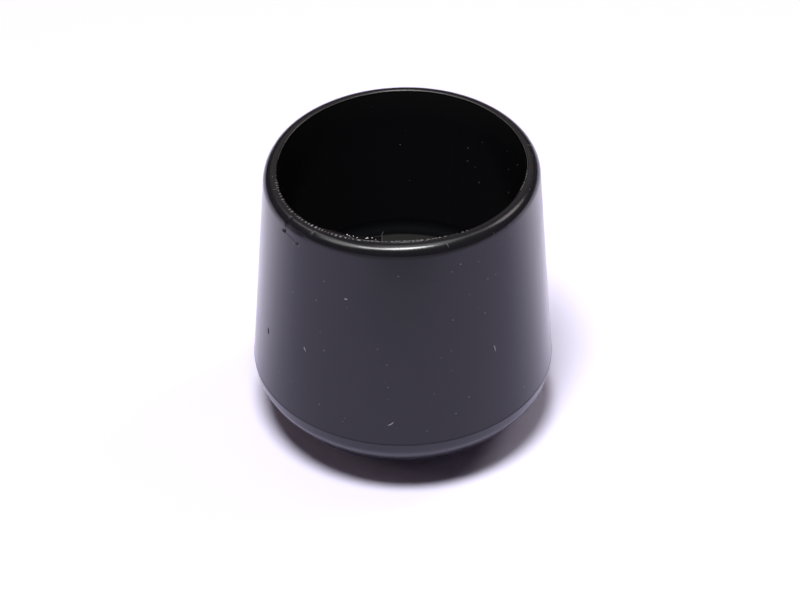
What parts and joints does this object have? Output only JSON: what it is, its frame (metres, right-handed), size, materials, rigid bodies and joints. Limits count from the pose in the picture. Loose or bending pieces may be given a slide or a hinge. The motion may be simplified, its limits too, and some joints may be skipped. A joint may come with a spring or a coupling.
{
  "type": "tube end cap",
  "caption": "Tapered round cap that pushes over a tube's end, with a blind bore, a rounded mouth and a solid base that turns under to a flat sole.",
  "frame": {"origin": "centre of the flat sole, on the bore's axis", "axes": "+Z along the bore's axis, out of the mouth"},
  "size_m": [0.0308, 0.0308, 0.0314],
  "materials": {
    "moulded_black": "glossy black flexible moulding outside, duller and dusty inside the bore"
  },
  "bodies": {
    "root": {"end_cap": "moulded_black"}
  },
  "joints": []
}
